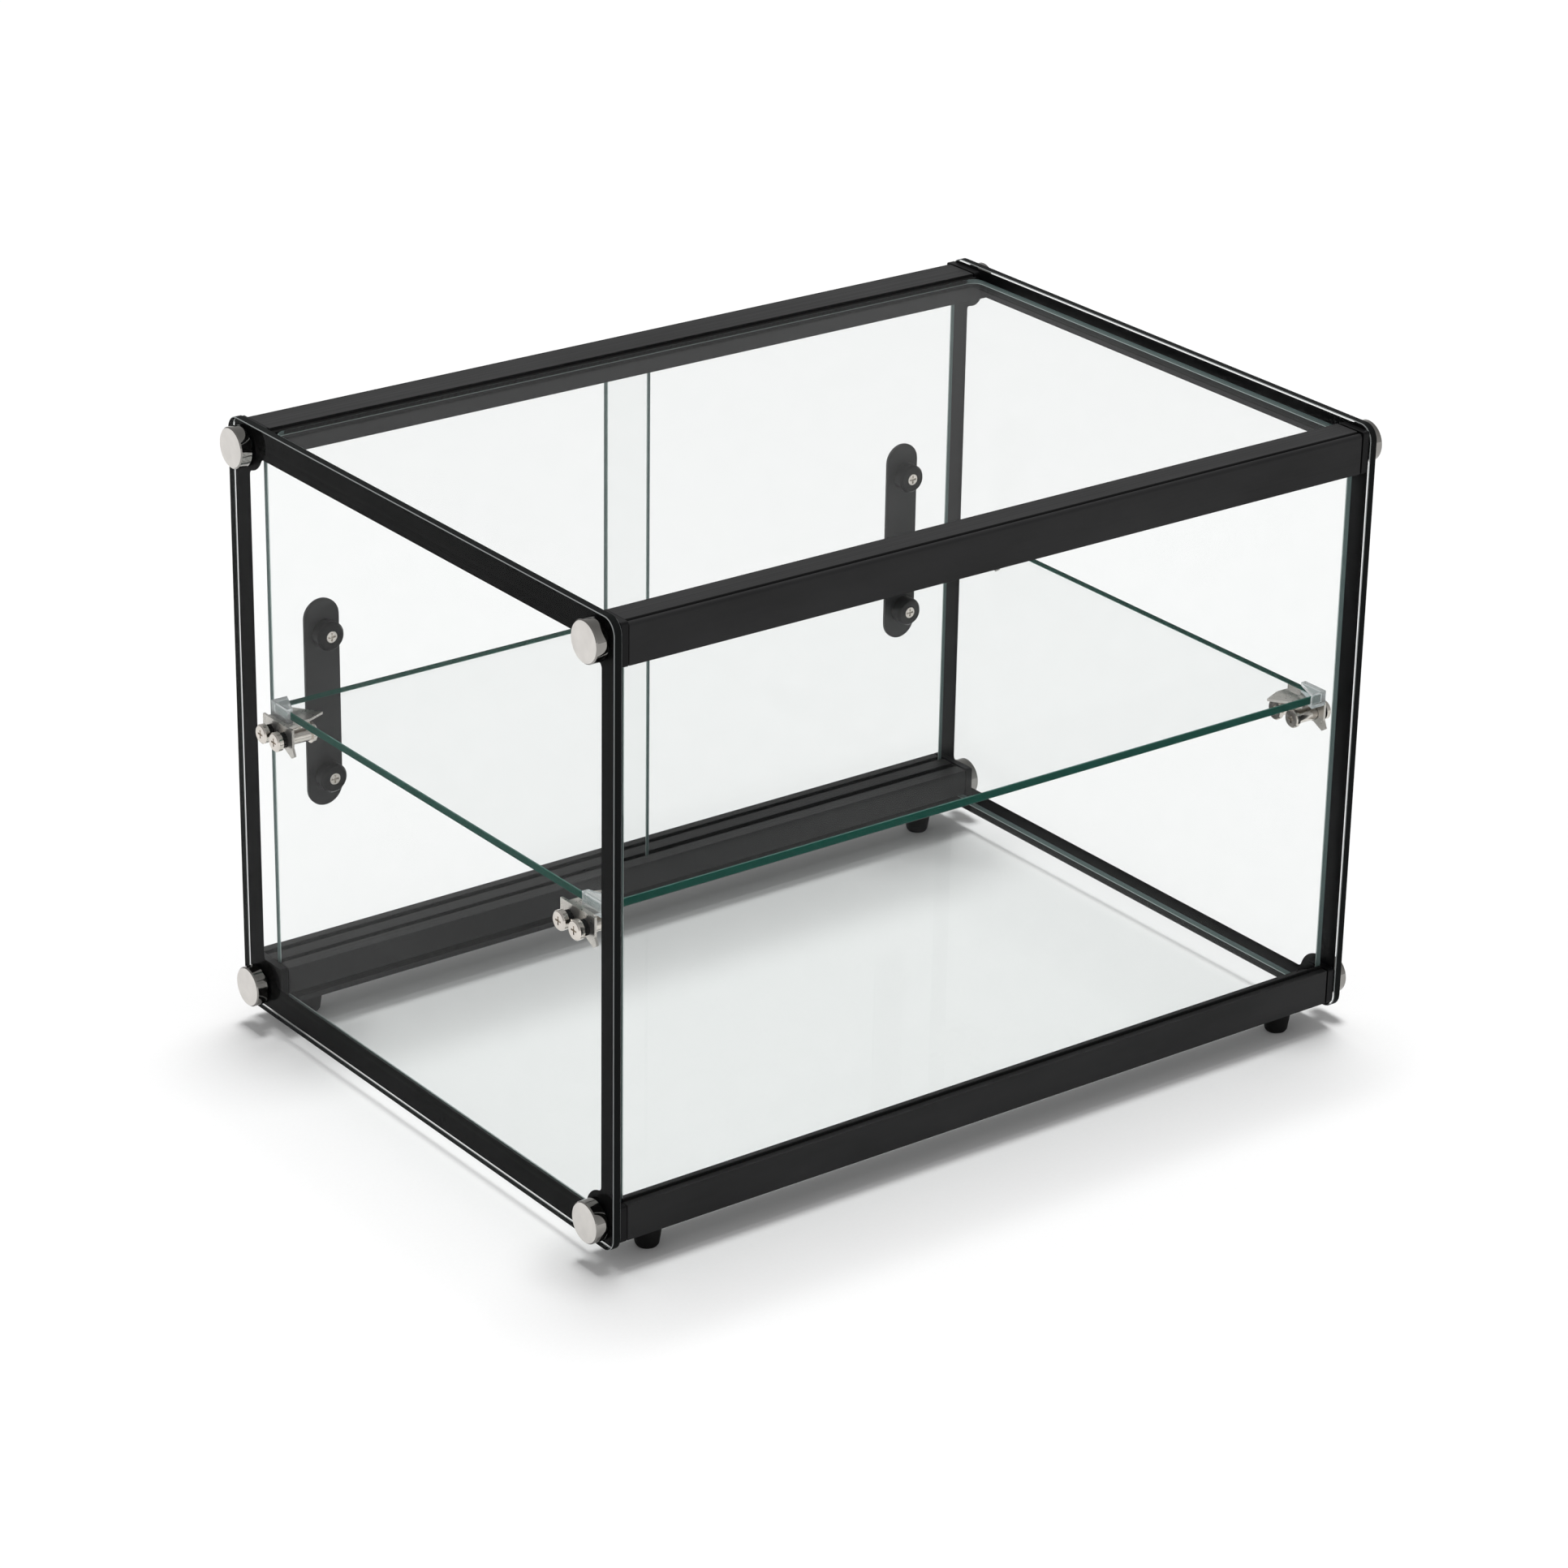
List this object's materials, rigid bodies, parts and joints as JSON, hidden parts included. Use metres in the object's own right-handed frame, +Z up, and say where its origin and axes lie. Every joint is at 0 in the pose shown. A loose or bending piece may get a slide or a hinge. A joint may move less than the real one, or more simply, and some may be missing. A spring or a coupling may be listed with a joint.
{
  "type": "tabletop display case",
  "caption": "Clear glass tabletop display case on black rails with a glass shelf, sliding rear glass doors, round corner caps and rubber feet.",
  "frame": {"origin": "on the table under the middle of the case", "axes": "+X to the right seen from the front, +Y towards the sliding doors at the back, +Z up"},
  "size_m": [0.536, 0.378, 0.374],
  "materials": {
    "side_glass": "clear, polished edges",
    "door_glass": "clear, polished edges",
    "shelf_glass": "clear, green polished edges",
    "top_glass": "clear, polished edges",
    "front_glass": "clear, polished edges",
    "base_glass": "clear, polished edges",
    "border_enamel": "black fired enamel behind glass",
    "black_rail": "black anodised, matte, fine die lines",
    "end_cap_plastic": "black, fine texture",
    "gasket_rubber": "black, matte",
    "liner_plastic": "black, smooth",
    "corner_cap_metal": "satin face, polished rim",
    "washer_plastic": "black",
    "bush_plastic": "white nylon",
    "stud_steel": "plated",
    "bracket_steel": "satin nickel plated",
    "post_nickel": "polished nickel",
    "screw_nickel": "polished nickel",
    "clear_boot": "clear, soft",
    "pull_black": "black anodised, satin",
    "knob_black": "black, satin",
    "door_screw_steel": "plated",
    "foot_rubber": "black, matte",
    "foot_screw_steel": "plated"
  },
  "bodies": {
    "case": {"base_glass": "base_glass", "foot_screws": "foot_screw_steel", "front_glass": "front_glass", "front_glass_gasket": "gasket_rubber", "front_left_foot": "foot_rubber", "front_left_shelf_boot": "clear_boot", "front_left_shelf_bracket": "bracket_steel", "front_low_left_end_cap": "end_cap_plastic", "front_low_rail": "black_rail", "front_low_right_end_cap": "end_cap_plastic", "front_right_foot": "foot_rubber", "front_right_shelf_boot": "clear_boot", "front_right_shelf_bracket": "bracket_steel", "front_top_left_end_cap": "end_cap_plastic", "front_top_rail": "black_rail", "front_top_right_end_cap": "end_cap_plastic", "left_cap_washers": "washer_plastic", "left_corner_caps": "corner_cap_metal", "left_corner_studs": "stud_steel", "left_glass_border": "border_enamel", "left_glass_bushes": "bush_plastic", "left_shelf_posts": "post_nickel", "left_shelf_screws": "screw_nickel", "left_side_glass": "side_glass", "lower_track_liners": "liner_plastic", "rear_left_foot": "foot_rubber", "rear_left_shelf_boot": "clear_boot", "rear_left_shelf_bracket": "bracket_steel", "rear_low_left_end_cap": "end_cap_plastic", "rear_low_rail": "black_rail", "rear_low_right_end_cap": "end_cap_plastic", "rear_right_foot": "foot_rubber", "rear_right_shelf_boot": "clear_boot", "rear_right_shelf_bracket": "bracket_steel", "rear_top_left_end_cap": "end_cap_plastic", "rear_top_rail": "black_rail", "rear_top_right_end_cap": "end_cap_plastic", "right_cap_washers": "washer_plastic", "right_corner_caps": "corner_cap_metal", "right_corner_studs": "stud_steel", "right_glass_border": "border_enamel", "right_glass_bushes": "bush_plastic", "right_shelf_posts": "post_nickel", "right_shelf_screws": "screw_nickel", "right_side_glass": "side_glass", "shelf_glass": "shelf_glass", "top_glass": "top_glass", "top_glass_rear_seal": "gasket_rubber", "upper_track_liners": "liner_plastic"},
    "left_door": {"left_door_glass": "door_glass", "left_door_pull": "pull_black", "left_door_knobs": "knob_black", "left_door_screws": "door_screw_steel"},
    "right_door": {"right_door_glass": "door_glass", "right_door_pull": "pull_black", "right_door_knobs": "knob_black", "right_door_screws": "door_screw_steel"}
  },
  "joints": [
    {"name": "left_door_slide", "type": "slide", "parent": "case", "child": "left_door", "axis": [1, 0, 0], "range_m": [0, 0.235]},
    {"name": "right_door_slide", "type": "slide", "parent": "case", "child": "right_door", "axis": [-1, 0, 0], "range_m": [0, 0.235]}
  ]
}
